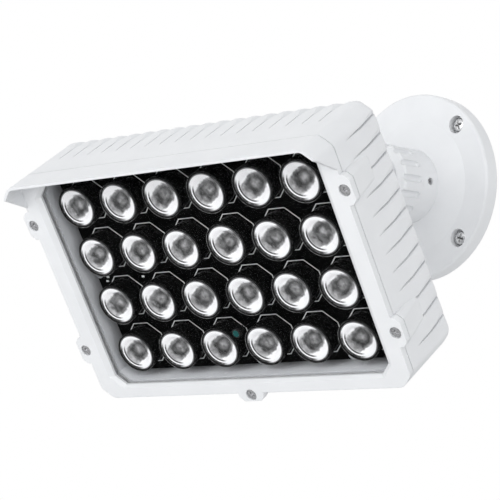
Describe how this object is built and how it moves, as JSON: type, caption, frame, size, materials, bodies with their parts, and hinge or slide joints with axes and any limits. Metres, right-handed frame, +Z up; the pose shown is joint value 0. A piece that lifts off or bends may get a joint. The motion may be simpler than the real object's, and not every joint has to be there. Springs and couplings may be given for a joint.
{
  "type": "infrared illuminator",
  "caption": "Wall-mounted infrared illuminator: hooded lamp head with a grid of lensed lights, on a ball joint and round base.",
  "frame": {"origin": "centre of the four wall bolts, on the wall plane", "axes": "+Y into the wall, -Y out of the wall towards the lamp head, +Z up"},
  "size_m": [0.2049, 0.2413, 0.1745],
  "materials": {
    "white_coat": "die-cast aluminium, white satin powder coat",
    "dark_steel": "dark plated steel screws",
    "bright_steel": "plain zinc steel",
    "seat_plastic": "nylon, natural",
    "clear_glass": "clear toughened glass",
    "black_rubber": "black silicone rubber",
    "grey_rubber": "grey silicone rubber",
    "grey_gloss": "grey glossy plastic",
    "board_black": "black solder mask",
    "board_green": "green solder mask",
    "emitter": "ceramic package with clear dome",
    "holder_black": "black moulded plastic",
    "lens_clear": "clear moulded acrylic",
    "photocell": "teal lacquered cell",
    "ferrite": "dark ferrite",
    "coil_tape": "yellow winding tape",
    "capacitor_sleeve": "dark blue sleeve",
    "header_black": "black moulded plastic",
    "gland_grey": "light grey nylon"
  },
  "bodies": {
    "base": {"wall_base": "white_coat", "set_screw": "dark_steel"},
    "ring": {"locking_ring": "white_coat"},
    "seat": {"ball_seat": "seat_plastic"},
    "arm": {"ball_arm": "white_coat"},
    "nut": {"jam_nut": "white_coat"},
    "head": {"front_frame": "white_coat", "frame_screws": "dark_steel", "window_glass": "clear_glass", "window_gasket": "black_rubber", "housing_gasket": "grey_rubber", "cavity_liner": "grey_gloss", "rear_housing": "white_coat", "led_board": "board_black", "board_screws": "bright_steel", "led_emitters": "emitter", "lens_holders": "holder_black", "lens_optics": "lens_clear", "light_sensor": "photocell", "driver_board": "board_green", "driver_screws": "bright_steel", "transformer_core": "ferrite", "transformer_coil": "coil_tape", "driver_capacitors": "capacitor_sleeve", "power_header": "header_black", "gland_body": "gland_grey", "gland_nut": "gland_grey", "gland_seal": "black_rubber", "gland_locknut": "gland_grey"}
  },
  "joints": [
    {"name": "ring_turn", "type": "hinge", "parent": "base", "child": "ring", "pos_m": [0, -0.03, 0], "axis": [0, -1, 0], "range_deg": [0, 90]},
    {"name": "ball_turn", "type": "hinge", "parent": "base", "child": "seat", "pos_m": [0, -0.03, 0], "axis": [0, -1, 0], "range_deg": [-180, 180]},
    {"name": "ball_tilt", "type": "hinge", "parent": "seat", "child": "arm", "pos_m": [0, -0.03, 0], "axis": [0.9782, 0, 0.2074], "range_deg": [-71.28, 3.72]},
    {"name": "nut_turn", "type": "hinge", "parent": "arm", "child": "nut", "pos_m": [0, -0.03, 0], "axis": [0.1153, -0.8312, -0.5439], "continuous": true},
    {"name": "head_turn", "type": "hinge", "parent": "arm", "child": "head", "pos_m": [0, -0.03, 0], "axis": [0.1153, -0.8312, -0.5439], "range_deg": [-180, 180]}
  ]
}
